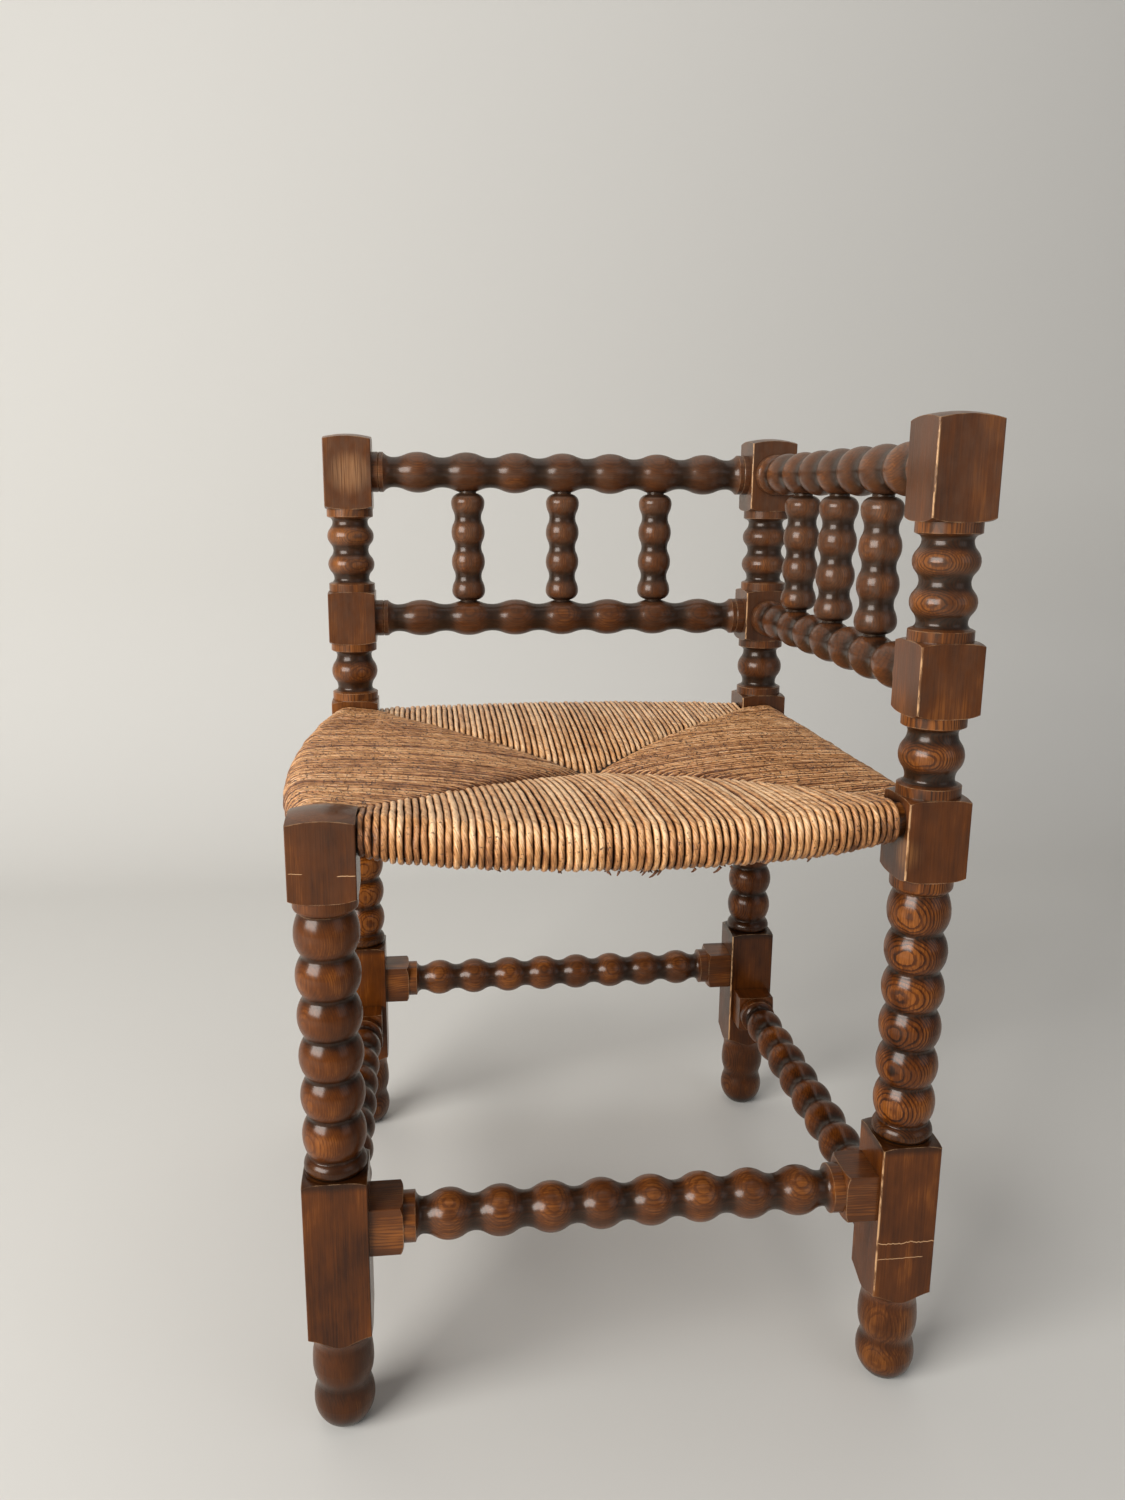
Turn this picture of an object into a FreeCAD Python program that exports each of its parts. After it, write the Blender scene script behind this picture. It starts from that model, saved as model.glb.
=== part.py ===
import FreeCAD, Part
import math
import os

# Rustic corner chair: four turned posts, bobbin turned rails and a woven rush seat.
# Millimetres. X runs to the right, Y runs to the back, Z runs up from the floor.
# The sizes below are set one by one. Everything that meets something else takes
# its size and its place from the same named values.

# Plan of the frame
post_spacing = 417.0
post_side = 45.0
post_edge_round = 1.0

# Lengths along a post from the floor up, blocks measured at their corners
foot_ball_rise = 20.0
foot_neck_rise = 14.5
foot_bead_rise = 16.0
foot_groove_rise = 18.0
foot_shoulder_rise = 15.0
leg_block_length = 120.5
leg_turning_length = 208.5
seat_block_length = 53.5
short_block_length = 50.5
neck_turning_length = 62.0
mid_block_length = 45.5
upper_turning_length = 84.5
top_block_length = 62.0

# Lathe cut ends of the blocks
crown_rise = 5.5
shoulder_rise = 2.4
shoulder_drop = 3.2
shoulder_bulge = 0.6

# Radii of a foot
foot_base_radius = 12.0
foot_ball_radius = 22.2
foot_neck_radius = 19.5
foot_bead_radius = 22.3
foot_groove_radius = 20.6
foot_cove_share = 0.3
foot_groove_share = 0.15

# Ring and row of ball shaped beads between leg block and seat block
ring_radius = 22.1
ring_seat_radius = 19.6
ring_seat_rise = 0.6
ring_rise = 4.0
ring_neck_radius = 18.4
ring_neck_rise = 7.6
leg_bead_count = 6
leg_bead_radius = 22.4
leg_bead_low_room = 0.6
leg_bead_high_room = 1.5
leg_neck_radius = 18.0
leg_cove_share = 0.12
leg_collar_radius = 22.1
leg_collar_neck_radius = 18.8
leg_collar_step = 0.8
leg_collar_lip = 4.5
leg_collar_length = 11.0

# Slim discs and beads between the upper blocks
collar_radius = 22.2
collar_length = 7.2
collar_step_radius = 20.3
collar_step_length = 1.0
neck_radius = 17.0
neck_reach = 5.0
bead_radius = 22.4
bead_cove_share = 0.45
neck_bead_count = 1
upper_bead_count = 2

# Sockets in the posts and rails
glue_gap = 0.1
socket_end_gap = 0.5
socket_wall = 1.4

# Upper bobbin rail, set down from the top of the top block
upper_rail_drop = 30.0
upper_rail_bead_count = 7
upper_rail_bead_radius = 19.4
upper_rail_neck_radius = 14.3
upper_rail_collar_radius = 19.1
upper_rail_collar_length = 10.5

# Lower bobbin rail, set down from the top of the mid block
lower_rail_drop = 24.7
lower_rail_bead_count = 7
lower_rail_bead_radius = 17.7
lower_rail_neck_radius = 13.3
lower_rail_collar_radius = 17.6
lower_rail_collar_length = 12.0

# Shared by the bobbin rails
rail_cove_share = 0.45
rail_cove_length = 9.9
rail_groove_depth = 0.7
rail_groove_width = 1.6
rail_groove_place = 4.2
rail_tenon_radius = 7.0

# Short spindles between the two rails, on every second bead
spindle_bead_count = 4
spindle_bead_radius = 16.4
spindle_neck_radius = 13.0
spindle_end_radius = 8.5
spindle_end_length = 9.0
spindle_cove_share = 0.4
spindle_let_in = 8.0
bead_count_per_spindle = 2

# Bobbin stretchers with square ends, set down from the top of the leg block
front_stretcher_drop = 41.0
side_stretcher_drop = 79.5
stretcher_bead_count = 8
stretcher_bead_radius = 18.0
stretcher_neck_radius = 12.7
stretcher_cove_share = 0.4
stretcher_cove_length = 5.6
stretcher_block_side = 36.8
stretcher_block_length = 21.5
stretcher_block_round = 1.0
stretcher_shoulder = 2.4
stretcher_collar_radius = 17.9
stretcher_collar_length = 8.5
stretcher_step_radius = 16.3
stretcher_step_length = 0.6
stretcher_tenon_radius = 8.0
stretcher_tenon_length = 18.0

# Seat rails under the rush, set up from the bottom of the seat block
seat_rail_radius = 12.0
back_seat_rail_rise = 28.0
right_seat_rail_rise = 29.5
left_seat_rail_rise = 36.5
front_seat_rail_rise = 39.0
seat_rail_bow = 21.0
seat_rail_bow_offset = 6.0
seat_rail_sag = 6.5
seat_tenon_radius = 7.0

# Woven rush over the seat rails
rush_thickness = 5.2
rush_rail_gap = 0.3
rush_post_gap = 0.3
rush_dip = 20.7
rush_centre_depth = 16.5
rush_swell = 3.5

# Allowances of the cutting shapes, which leave no mark on the pieces
cut_spare = 1.0
bow_spare_turn = 4.0

# Heights that follow from the lengths above
leg_block_bottom = foot_ball_rise + foot_neck_rise + foot_bead_rise + foot_groove_rise + foot_shoulder_rise
leg_block_top = leg_block_bottom + leg_block_length
seat_block_bottom = leg_block_top + leg_turning_length
seat_block_top = seat_block_bottom + seat_block_length
short_post_top = seat_block_bottom + short_block_length
mid_block_bottom = seat_block_top + neck_turning_length
mid_block_top = mid_block_bottom + mid_block_length
top_block_bottom = mid_block_top + upper_turning_length
top_block_top = top_block_bottom + top_block_length
upper_rail_height = top_block_top - upper_rail_drop
lower_rail_height = mid_block_top - lower_rail_drop
front_stretcher_height = leg_block_top - front_stretcher_drop
side_stretcher_height = leg_block_top - side_stretcher_drop
back_seat_rail_height = seat_block_bottom + back_seat_rail_rise
right_seat_rail_height = seat_block_bottom + right_seat_rail_rise
left_seat_rail_height = seat_block_bottom + left_seat_rail_rise
front_seat_rail_height = seat_block_bottom + front_seat_rail_rise
rush_centre_top = back_seat_rail_height + seat_rail_radius + rush_thickness - rush_dip
rush_centre_bottom = rush_centre_top - rush_centre_depth

# Other values that follow
half_spacing = post_spacing / 2.0
half_side = post_side / 2.0
corner_reach = half_side * math.sqrt(2.0)
clear_span = post_spacing - post_side
half_span = clear_span / 2.0
tenon_room = half_side - glue_gap - socket_end_gap - socket_wall
rail_tenon_length = tenon_room - rail_tenon_radius
seat_tenon_length = tenon_room - seat_tenon_radius
upper_rail_pitch = (clear_span - 2.0 * (upper_rail_collar_length + rail_cove_length)) / upper_rail_bead_count
lower_rail_pitch = (clear_span - 2.0 * (lower_rail_collar_length + rail_cove_length)) / lower_rail_bead_count
left_reach = half_spacing + seat_rail_bow_offset + seat_rail_bow + seat_rail_radius + rush_thickness
right_reach = half_spacing + half_side
box_shift = (left_reach - right_reach) / 2.0

AXIS_X = FreeCAD.Vector(1, 0, 0)
AXIS_Y = FreeCAD.Vector(0, 1, 0)
AXIS_Z = FreeCAD.Vector(0, 0, 1)
ORIGIN = FreeCAD.Vector(0, 0, 0)


def vec(x, y, z):
    return FreeCAD.Vector(x, y, z)


class Outline:
    """Half section of a turned piece: radius against place along the lathe axis."""

    def __init__(self, radius, place):
        self.here = (radius, place)
        self.edges = []

    def point(self, spot):
        return vec(spot[0], 0, spot[1])

    def line(self, radius, place):
        there = (radius, place)
        if math.dist(self.here, there) > 1e-6:
            self.edges.append(Part.makeLine(self.point(self.here), self.point(there)))
        self.here = there
        return self

    def through(self, middle, radius, place):
        there = (radius, place)
        arc = Part.Arc(self.point(self.here), self.point(middle), self.point(there))
        self.edges.append(arc.toShape())
        self.here = there
        return self

    def flat_at_end(self, radius, place):
        """Arc that runs along the lathe axis where it ends."""
        return self.through(arc_middle((radius, place), self.here), radius, place)

    def flat_at_start(self, radius, place):
        """Arc that runs along the lathe axis where it starts."""
        return self.through(arc_middle(self.here, (radius, place)), radius, place)

    def swell(self, radius, place, share):
        """Two tangent arcs from crest to neck or from neck to crest."""
        start = self.here
        turn_radius = start[0] + (radius - start[0]) * share
        turn_place = start[1] + (place - start[1]) * share
        self.flat_at_start(turn_radius, turn_place)
        self.flat_at_end(radius, place)
        return self

    def to_neck(self, radius, place, cove_share):
        return self.swell(radius, place, 1.0 - cove_share)

    def to_crest(self, radius, place, cove_share):
        return self.swell(radius, place, cove_share)

    def solid(self):
        """Close the section along the axis and turn it round."""
        first = self.edges[0].Vertexes[0].Point
        self.line(0.0, self.here[1])
        self.line(0.0, first.z)
        if first.x > 1e-6:
            self.line(first.x, first.z)
        face = Part.Face(Part.Wire(self.edges))
        return face.revolve(ORIGIN, AXIS_Z, 360.0)


def arc_middle(flat, other):
    """Middle of the arc between two spots that runs along the axis at the first one."""
    step_radius = other[0] - flat[0]
    step_place = other[1] - flat[1]
    bend = (step_radius * step_radius + step_place * step_place) / (2.0 * abs(step_radius))
    side = math.copysign(1.0, step_radius)
    centre_radius = flat[0] + side * bend
    half_turn = math.asin(min(1.0, abs(step_place) / bend)) / 2.0
    middle_radius = centre_radius - side * bend * math.cos(half_turn)
    middle_place = flat[1] + math.copysign(bend * math.sin(half_turn), step_place)
    return (middle_radius, middle_place)


def square_bar(side, low, high, edge_round):
    """Square bar along Z with eased long edges."""
    bar = Part.makeBox(side, side, high - low, vec(-side / 2.0, -side / 2.0, low))
    long_edges = [e for e in bar.Edges if abs(e.Vertexes[0].Z - e.Vertexes[1].Z) > 1.0]
    return bar.makeFillet(edge_round, long_edges)


def rise_to_block(outline, place, reach, inner):
    """Shoulder from a turned part up to the corners of the block above it."""
    low = place - shoulder_drop
    outline.line(inner, low)
    middle = ((inner + reach) / 2.0 + shoulder_bulge, (low + place) / 2.0 - shoulder_bulge)
    return outline.through(middle, reach, place)


def leave_block(outline, place, reach, inner):
    """Shoulder from the corners of a block to the turned part above it."""
    high = place + shoulder_rise
    outline.line(reach, place)
    middle = ((inner + reach) / 2.0 + shoulder_bulge, (high + place) / 2.0 + shoulder_bulge)
    return outline.through(middle, inner, high)


def add_foot(outline):
    """Ball foot, foot bead and the cove under the leg block."""
    neck = foot_ball_rise + foot_neck_rise
    groove = leg_block_bottom - foot_shoulder_rise
    outline.line(foot_base_radius, 0.0)
    outline.flat_at_end(foot_ball_radius, foot_ball_rise)
    outline.to_neck(foot_neck_radius, neck, foot_cove_share)
    outline.to_crest(foot_bead_radius, neck + foot_bead_rise, foot_cove_share)
    outline.to_neck(foot_groove_radius, groove, foot_groove_share)
    outline.flat_at_start(corner_reach, leg_block_bottom)


def add_leg(outline):
    """Leg block, ring, the row of beads and the collar under the seat block."""
    leave_block(outline, leg_block_top, corner_reach, ring_radius)
    ring_seat = leg_block_top + shoulder_rise + ring_seat_rise
    ring_neck = ring_seat + ring_rise + ring_neck_rise
    outline.line(ring_seat_radius, ring_seat)
    outline.flat_at_end(ring_radius, ring_seat + ring_rise)
    outline.to_neck(ring_neck_radius, ring_neck, leg_cove_share)
    collar_bottom = seat_block_bottom - shoulder_drop - leg_collar_length
    low = ring_neck + leg_bead_low_room
    pitch = (collar_bottom - leg_bead_high_room - low) / leg_bead_count
    for number in range(leg_bead_count):
        crest = low + (number + 0.5) * pitch
        outline.to_crest(leg_bead_radius, crest, leg_cove_share)
        if number < leg_bead_count - 1:
            outline.to_neck(leg_neck_radius, crest + pitch / 2.0, leg_cove_share)
    outline.to_neck(leg_collar_neck_radius, collar_bottom, leg_cove_share)
    outline.line(leg_collar_neck_radius + leg_collar_step, collar_bottom + leg_collar_step)
    outline.flat_at_end(leg_collar_radius, collar_bottom + leg_collar_lip)
    rise_to_block(outline, seat_block_bottom, corner_reach, leg_collar_radius)


def add_upper_turning(outline, low_block_top, high_block_bottom, bead_count):
    """Disc, cove, beads, cove and disc between two blocks of a tall post."""
    leave_block(outline, low_block_top, corner_reach, collar_radius)
    low = low_block_top + shoulder_rise + collar_length
    high = high_block_bottom - shoulder_drop - collar_length
    outline.line(collar_radius, low)
    outline.line(collar_step_radius, low + collar_step_length)
    low_neck = low + neck_reach
    high_neck = high - neck_reach
    outline.flat_at_end(neck_radius, low_neck)
    pitch = (high_neck - low_neck) / bead_count
    for number in range(bead_count):
        crest = low_neck + (number + 0.5) * pitch
        outline.to_crest(bead_radius, crest, bead_cove_share)
        outline.to_neck(neck_radius, crest + pitch / 2.0, bead_cove_share)
    outline.flat_at_start(collar_step_radius, high - collar_step_length)
    outline.line(collar_radius, high)
    rise_to_block(outline, high_block_bottom, corner_reach, collar_radius)


def finish_crown(outline, top):
    """Slightly domed top of a post."""
    outline.line(corner_reach, top)
    bend = (corner_reach ** 2 + crown_rise ** 2) / (2.0 * crown_rise)
    halfway = corner_reach / 2.0
    lift = math.sqrt(bend ** 2 - halfway ** 2) - (bend - crown_rise)
    outline.through((halfway, top + lift), 0.0, top + crown_rise)


def tall_post():
    outline = Outline(0.0, 0.0)
    add_foot(outline)
    add_leg(outline)
    add_upper_turning(outline, seat_block_top, mid_block_bottom, neck_bead_count)
    add_upper_turning(outline, mid_block_top, top_block_bottom, upper_bead_count)
    finish_crown(outline, top_block_top)
    top = top_block_top + crown_rise + cut_spare
    return outline.solid().common(square_bar(post_side, -cut_spare, top, post_edge_round))


def short_post():
    outline = Outline(0.0, 0.0)
    add_foot(outline)
    add_leg(outline)
    finish_crown(outline, short_post_top)
    top = short_post_top + crown_rise + cut_spare
    return outline.solid().common(square_bar(post_side, -cut_spare, top, post_edge_round))


def add_tenon(outline, end, radius, length):
    outline.line(radius, end)
    outline.line(radius, end + length)


def bobbin_rail(count, crest_radius, cove_radius, disc_radius, disc_length):
    """Rail along Z, centred, with a disc and a round tenon at each end."""
    tenon_end = half_span + rail_tenon_length
    disc_inner = half_span - disc_length
    end_neck = disc_inner - rail_cove_length
    pitch = 2.0 * end_neck / count
    outline = Outline(0.0, -tenon_end)
    outline.line(rail_tenon_radius, -tenon_end)
    outline.line(rail_tenon_radius, -half_span)
    outline.line(disc_radius, -half_span)
    add_groove(outline, disc_radius, -disc_inner - rail_groove_place)
    outline.line(disc_radius, -disc_inner)
    outline.flat_at_end(cove_radius, -end_neck)
    for number in range(count):
        crest = -end_neck + (number + 0.5) * pitch
        outline.to_crest(crest_radius, crest, rail_cove_share)
        outline.to_neck(cove_radius, crest + pitch / 2.0, rail_cove_share)
    outline.flat_at_start(disc_radius, disc_inner)
    add_groove(outline, disc_radius, disc_inner + rail_groove_place)
    outline.line(disc_radius, half_span)
    add_tenon(outline, half_span, rail_tenon_radius, rail_tenon_length)
    return outline.solid()


def add_groove(outline, radius, place):
    """Fine turned line around a disc."""
    outline.line(radius, place - rail_groove_width / 2.0)
    outline.line(radius - rail_groove_depth, place)
    outline.line(radius, place + rail_groove_width / 2.0)


def spindle(length):
    """Spindle along Z that starts at zero, with its round ends let into the rails."""
    outline = Outline(0.0, -spindle_let_in)
    outline.line(spindle_end_radius, -spindle_let_in)
    outline.line(spindle_end_radius, 0.0)
    outline.flat_at_end(spindle_bead_radius, spindle_end_length)
    pitch = (length - 2.0 * spindle_end_length) / (spindle_bead_count - 1)
    for number in range(1, spindle_bead_count):
        crest = spindle_end_length + number * pitch
        outline.to_neck(spindle_neck_radius, crest - pitch / 2.0, spindle_cove_share)
        outline.to_crest(spindle_bead_radius, crest, spindle_cove_share)
    outline.flat_at_start(spindle_end_radius, length)
    outline.line(spindle_end_radius, length + spindle_let_in)
    return outline.solid()


def stretcher():
    """Stretcher along Z, centred, turned between two square ends."""
    tenon_end = half_span + stretcher_tenon_length
    block_reach = stretcher_block_side / 2.0 * math.sqrt(2.0)
    block_inner = half_span - stretcher_block_length
    disc_outer = block_inner - stretcher_shoulder
    disc_inner = disc_outer - stretcher_collar_length
    end_neck = disc_inner - stretcher_cove_length
    pitch = 2.0 * end_neck / stretcher_bead_count
    outline = Outline(0.0, -tenon_end)
    outline.line(block_reach, -tenon_end)
    outline.line(block_reach, -block_inner)
    turned_corner(outline, stretcher_collar_radius, -disc_outer)
    outline.line(stretcher_collar_radius, -disc_inner)
    outline.line(stretcher_step_radius, -disc_inner + stretcher_step_length)
    outline.flat_at_end(stretcher_neck_radius, -end_neck)
    for number in range(stretcher_bead_count):
        crest = -end_neck + (number + 0.5) * pitch
        outline.to_crest(stretcher_bead_radius, crest, stretcher_cove_share)
        outline.to_neck(stretcher_neck_radius, crest + pitch / 2.0, stretcher_cove_share)
    outline.flat_at_start(stretcher_step_radius, disc_inner - stretcher_step_length)
    outline.line(stretcher_collar_radius, disc_inner)
    outline.line(stretcher_collar_radius, disc_outer)
    turned_corner(outline, block_reach, block_inner)
    outline.line(block_reach, tenon_end)
    bar = square_bar(stretcher_block_side, -half_span, half_span, stretcher_block_round)
    body = outline.solid().common(bar)
    start = vec(0, 0, -tenon_end)
    tenon = Part.makeCylinder(stretcher_tenon_radius, 2.0 * tenon_end, start, AXIS_Z)
    return body.fuse(tenon).removeSplitter()


def turned_corner(outline, radius, place):
    """Rounded shoulder where a square end was turned down."""
    start = outline.here
    wide = max(radius, start[0])
    narrow = min(radius, start[0])
    outer = place if radius > start[0] else start[1]
    inner = start[1] if radius > start[0] else place
    bulge = math.copysign(shoulder_bulge, inner - outer)
    middle = ((wide + narrow) / 2.0 + shoulder_bulge, (outer + inner) / 2.0 + bulge)
    return outline.through(middle, radius, place)


def lay_along_x(shape, y, z):
    """Turn a piece from Z to X and put its axis at the given place."""
    laid = shape.copy()
    laid.rotate(ORIGIN, AXIS_Y, 90.0)
    laid.translate(vec(0, y, z))
    return laid


def lay_along_y(shape, x, z):
    """Turn a piece from Z to Y and put its axis at the given place."""
    laid = shape.copy()
    laid.rotate(ORIGIN, AXIS_X, 90.0)
    laid.translate(vec(x, 0, z))
    return laid


def round_socket(start, direction, radius, length):
    """Hole for a round tenon or spindle end, with glue gap and room at its end."""
    return Part.makeCylinder(radius + glue_gap, length + socket_end_gap, start, direction)


def post_socket(x, y, toward, height, radius, length, aside):
    """Socket in a post, from the face that looks along the given direction."""
    start = vec(x, y, height) + toward * half_side + aside
    return round_socket(start, toward * -1.0, radius, length)


def bow_middle(height):
    """Middle of a bowed rail in the place of the front rail, out and down from its ends."""
    return vec(0, -half_spacing - seat_rail_bow_offset - seat_rail_bow, height - seat_rail_sag)


def sweep_bow(section, height):
    """Turn a section at the middle of the bow along the arc of the bow."""
    depth = math.hypot(seat_rail_bow, seat_rail_sag)
    bend = (half_span ** 2 + depth ** 2) / (2.0 * depth)
    inward = vec(0, seat_rail_bow / depth, seat_rail_sag / depth)
    centre = bow_middle(height) + inward * bend
    axis = AXIS_X.cross(inward)
    reach = math.degrees(math.asin(half_span / bend)) + bow_spare_turn
    section.rotate(centre, axis, -reach)
    return section.revolve(centre, axis, 2.0 * reach)


def bowed_bar(height, radius):
    """Round bar along the bow, cut flat at both ends."""
    disc = Part.Face(Part.Wire(Part.makeCircle(radius, bow_middle(height), AXIS_X)))
    bar = sweep_bow(disc, height)
    slab = Part.makeBox(clear_span, post_spacing, seat_block_top)
    slab.translate(vec(-half_span, -post_spacing, height - seat_block_top / 2.0))
    return bar.common(slab)


def bowed_seat_rail(height):
    """Bowed rail in the place of the front rail, with straight tenons."""
    end = -half_spacing - seat_rail_bow_offset
    tenons = []
    for side in (-1.0, 1.0):
        start = vec(side * half_span, end, height)
        tenons.append(Part.makeCylinder(seat_tenon_radius, seat_tenon_length, start, AXIS_X * side))
    return bowed_bar(height, seat_rail_radius).multiFuse(tenons).removeSplitter()


def straight_seat_rail():
    """Straight round seat rail along Z with a tenon at each end."""
    tenon_end = half_span + seat_tenon_length
    outline = Outline(0.0, -tenon_end)
    outline.line(seat_tenon_radius, -tenon_end)
    outline.line(seat_tenon_radius, -half_span)
    outline.line(seat_rail_radius, -half_span)
    outline.line(seat_rail_radius, half_span)
    add_tenon(outline, half_span, seat_tenon_radius, seat_tenon_length)
    return outline.solid()


def rush_section(rail_place, height):
    """Section of the rush from the middle of the seat over the front rail and back."""
    tube = seat_rail_radius + rush_thickness
    top = vec(0, rail_place, height + tube)
    outer = vec(0, rail_place - tube, height)
    bottom = vec(0, rail_place, height - tube)
    centre_top = vec(0, 0, rush_centre_top)
    centre_bottom = vec(0, 0, rush_centre_bottom)
    crest = (top + centre_top) * 0.5 + vec(0, 0, rush_swell)
    belly = (bottom + centre_bottom) * 0.5 - vec(0, 0, rush_swell)
    edges = [
        Part.Arc(centre_top, crest, top).toShape(),
        Part.Arc(top, outer, bottom).toShape(),
        Part.Arc(bottom, belly, centre_bottom).toShape(),
        Part.makeLine(centre_bottom, centre_top),
    ]
    return Part.Face(Part.Wire(edges))


def rush_wedge():
    """Triangle between two diagonals of the seat, kept clear of the posts."""
    far = 2.0 * half_spacing
    corners = [vec(0, 0, 0), vec(-far, -far, 0), vec(far, -far, 0), vec(0, 0, 0)]
    wedge = Part.Face(Part.makePolygon(corners)).extrude(vec(0, 0, top_block_top))
    width = clear_span - 2.0 * rush_post_gap
    slab = Part.makeBox(width, far, top_block_top, vec(-width / 2.0, -far, 0))
    return wedge.common(slab)


def straight_rush(height):
    """Rush of one straight side, in the place of the front."""
    section = rush_section(-half_spacing, height)
    section.translate(vec(-half_spacing, 0, 0))
    panel = section.extrude(vec(post_spacing, 0, 0))
    start = vec(-half_spacing, -half_spacing, height)
    rail_room = Part.makeCylinder(seat_rail_radius + rush_rail_gap, post_spacing, start, AXIS_X)
    return panel.common(rush_wedge()).cut(rail_room)


def bowed_rush(height):
    """Rush of one bowed side, in the place of the front."""
    middle = bow_middle(height)
    panel = sweep_bow(rush_section(middle.y, middle.z), height)
    rail_room = bowed_bar(height, seat_rail_radius + rush_rail_gap)
    return panel.common(rush_wedge()).cut(rail_room)


def turned_about(shape, degrees):
    """Copy turned about the middle of the seat."""
    copy = shape.copy()
    copy.rotate(ORIGIN, AXIS_Z, degrees)
    return copy


posts = {
    "short_front_post": (-half_spacing, -half_spacing),
    "front_right_post": (half_spacing, -half_spacing),
    "back_left_post": (-half_spacing, half_spacing),
    "corner_post": (half_spacing, half_spacing),
}

nodes = {}
for name, (x, y) in posts.items():
    blank = short_post() if name == "short_front_post" else tall_post()
    blank.translate(vec(x, y, 0))
    inward_x = AXIS_X * math.copysign(1.0, -x)
    inward_y = AXIS_Y * math.copysign(1.0, -y)
    back_side = y > 0
    right_side = x > 0
    # A bowed seat rail enters its post further out than a straight one
    offset_x = ORIGIN if back_side else vec(0, -seat_rail_bow_offset, 0)
    offset_y = ORIGIN if right_side else vec(-seat_rail_bow_offset, 0, 0)
    height_x = back_seat_rail_height if back_side else front_seat_rail_height
    height_y = right_seat_rail_height if right_side else left_seat_rail_height
    seat_size = (seat_tenon_radius, seat_tenon_length)
    stretcher_size = (stretcher_tenon_radius, stretcher_tenon_length)
    rail_size = (rail_tenon_radius, rail_tenon_length)
    cuts = [
        post_socket(x, y, inward_x, height_x, *seat_size, offset_x),
        post_socket(x, y, inward_y, height_y, *seat_size, offset_y),
        post_socket(x, y, inward_x, front_stretcher_height, *stretcher_size, ORIGIN),
        post_socket(x, y, inward_y, side_stretcher_height, *stretcher_size, ORIGIN),
    ]
    for rail_height in (upper_rail_height, lower_rail_height):
        if back_side:
            cuts.append(post_socket(x, y, inward_x, rail_height, *rail_size, ORIGIN))
        if right_side:
            cuts.append(post_socket(x, y, inward_y, rail_height, *rail_size, ORIGIN))
    nodes[name] = blank.cut(Part.makeCompound(cuts))

# Upper and lower rails of the back and of the right side, with holes for the spindles
upper_blank = bobbin_rail(
    upper_rail_bead_count,
    upper_rail_bead_radius,
    upper_rail_neck_radius,
    upper_rail_collar_radius,
    upper_rail_collar_length,
)
lower_blank = bobbin_rail(
    lower_rail_bead_count,
    lower_rail_bead_radius,
    lower_rail_neck_radius,
    lower_rail_collar_radius,
    lower_rail_collar_length,
)
spindle_low = lower_rail_height + lower_rail_bead_radius
spindle_high = upper_rail_height - upper_rail_bead_radius
spindle_length = spindle_high - spindle_low
spindle_places = [lower_rail_pitch * bead_count_per_spindle * step for step in (-1, 0, 1)]

holes_back = []
holes_side = []
for place in spindle_places:
    for start, direction in ((spindle_low, AXIS_Z * -1.0), (spindle_high, AXIS_Z)):
        end_size = (direction, spindle_end_radius, spindle_let_in)
        holes_back.append(round_socket(vec(place, half_spacing, start), *end_size))
        holes_side.append(round_socket(vec(half_spacing, place, start), *end_size))
back_cut = Part.makeCompound(holes_back)
side_cut = Part.makeCompound(holes_side)

nodes["upper_back_rail"] = lay_along_x(upper_blank, half_spacing, upper_rail_height).cut(back_cut)
nodes["lower_back_rail"] = lay_along_x(lower_blank, half_spacing, lower_rail_height).cut(back_cut)
nodes["upper_side_rail"] = lay_along_y(upper_blank, half_spacing, upper_rail_height).cut(side_cut)
nodes["lower_side_rail"] = lay_along_y(lower_blank, half_spacing, lower_rail_height).cut(side_cut)

# Three spindles in the back and three in the right side
spindle_blank = spindle(spindle_length)
for number, place in enumerate(spindle_places, start=1):
    back_copy = spindle_blank.copy()
    back_copy.translate(vec(place, half_spacing, spindle_low))
    nodes["back_spindle_%d" % number] = back_copy
    side_copy = spindle_blank.copy()
    side_copy.translate(vec(half_spacing, -place, spindle_low))
    nodes["side_spindle_%d" % number] = side_copy

# Four stretchers, the side pair set lower than the front and back pair
stretcher_blank = stretcher()
nodes["front_stretcher"] = lay_along_x(stretcher_blank, -half_spacing, front_stretcher_height)
nodes["back_stretcher"] = lay_along_x(stretcher_blank, half_spacing, front_stretcher_height)
nodes["left_stretcher"] = lay_along_y(stretcher_blank, -half_spacing, side_stretcher_height)
nodes["right_stretcher"] = lay_along_y(stretcher_blank, half_spacing, side_stretcher_height)

# Seat rails: straight under the two backrests, bowed on the two open sides
straight_rail = straight_seat_rail()
nodes["back_seat_rail"] = lay_along_x(straight_rail, half_spacing, back_seat_rail_height)
nodes["right_seat_rail"] = lay_along_y(straight_rail, half_spacing, right_seat_rail_height)
nodes["front_seat_rail"] = bowed_seat_rail(front_seat_rail_height)
nodes["left_seat_rail"] = turned_about(bowed_seat_rail(left_seat_rail_height), -90.0)

# Woven rush: four sectors that meet on the diagonals
sectors = [
    bowed_rush(front_seat_rail_height),
    turned_about(bowed_rush(left_seat_rail_height), -90.0),
    turned_about(straight_rush(back_seat_rail_height), 180.0),
    turned_about(straight_rush(right_seat_rail_height), 90.0),
]
weave = sectors[0].multiFuse(sectors[1:])
nodes["rush_seat"] = weave.removeSplitter()

# The origin lies on the floor below the middle of the whole chair's box
os.makedirs("parts", exist_ok=True)
for name, shape in nodes.items():
    placed = shape.Solids[0].copy() if len(shape.Solids) == 1 else shape.copy()
    placed.translate(vec(box_shift, box_shift, 0))
    placed.exportStep("parts/" + name + ".step")
    volume = round(placed.Volume / 1000.0, 1)
    print(name, placed.ShapeType, len(placed.Solids), placed.isValid(), volume)
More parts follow.
